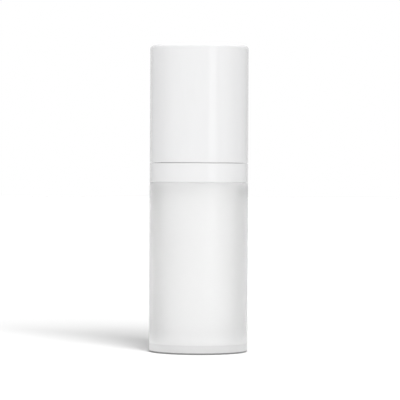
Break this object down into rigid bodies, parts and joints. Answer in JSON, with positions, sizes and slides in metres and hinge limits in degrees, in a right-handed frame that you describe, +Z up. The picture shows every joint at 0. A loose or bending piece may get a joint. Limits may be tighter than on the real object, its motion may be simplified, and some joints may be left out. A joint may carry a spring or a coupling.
{
  "type": "airless pump bottle",
  "caption": "Tall round cosmetic bottle with frosted double-wall body, white inner bottle, glossy collar and over-cap, and an airless dispensing pump under the cap.",
  "frame": {"origin": "centre of the bottle's foot, in the plane it stands on", "axes": "+Z up along the bottle's axis; the pump's nozzle points to -Y, the front; +X is to the right seen from the front"},
  "size_m": [0.037, 0.037, 0.1148],
  "materials": {
    "gloss_white": "high-gloss moulded white",
    "frosted_shell": "frosted, translucent, colourless, thick-walled",
    "inner_white": "satin moulded white",
    "liner_white": "satin moulded white",
    "head_white": "gloss moulded white",
    "nozzle_plastic": "gloss, natural white",
    "pump_plastic": "satin moulded white",
    "piston_plastic": "waxy, natural white",
    "gasket_rubber": "soft, light grey",
    "spring_steel": "drawn stainless wire",
    "ball_steel": "polished ball"
  },
  "bodies": {
    "bottle": {"outer_shell": "frosted_shell", "inner_bottle": "inner_white", "base_plug": "inner_white", "collar_shroud": "gloss_white", "pump_closure": "pump_plastic", "neck_gasket": "gasket_rubber", "pump_housing": "pump_plastic", "stem_guide": "pump_plastic", "ball_retainer": "pump_plastic", "return_spring": "spring_steel"},
    "cap": {"cap_shell": "gloss_white", "cap_liner": "liner_white"},
    "pump_rod": {"pump_stem": "pump_plastic", "stem_plug": "pump_plastic"},
    "pump_head": {"actuator_cover": "head_white", "actuator_core": "head_white", "nozzle_insert": "nozzle_plastic"},
    "dosing_piston": {"main_piston": "piston_plastic"},
    "inlet_valve": {"inlet_ball": "ball_steel"},
    "follower": {"follower_piston": "piston_plastic"}
  },
  "joints": [
    {"name": "cap_lift", "type": "slide", "parent": "bottle", "child": "cap", "axis": [0, 0, 1], "range_m": [0, 0.05]},
    {"name": "pump_press", "type": "slide", "parent": "bottle", "child": "pump_rod", "axis": [0, 0, -1], "range_m": [0, 0.0048], "stiffness_N_per_m": 1500, "springref_m": -0.004, "deforming": ["return_spring"]},
    {"name": "head_swivel", "type": "hinge", "parent": "pump_rod", "child": "pump_head", "pos_m": [0, 0, 0.0905], "axis": [0, 0, 1], "continuous": true},
    {"name": "piston_stroke", "type": "slide", "parent": "bottle", "child": "dosing_piston", "axis": [0, 0, -1], "range_m": [0, 0.00432]},
    {"name": "inlet_ball_lift", "type": "slide", "parent": "bottle", "child": "inlet_valve", "axis": [0, 0, 1], "range_m": [0, 0.001]},
    {"name": "follower_rise", "type": "slide", "parent": "bottle", "child": "follower", "axis": [0, 0, 1], "range_m": [0, 0.045]}
  ],
  "couplings": [
    {"joint": "piston_stroke", "follows": "pump_press", "ratio": 0.9}
  ]
}
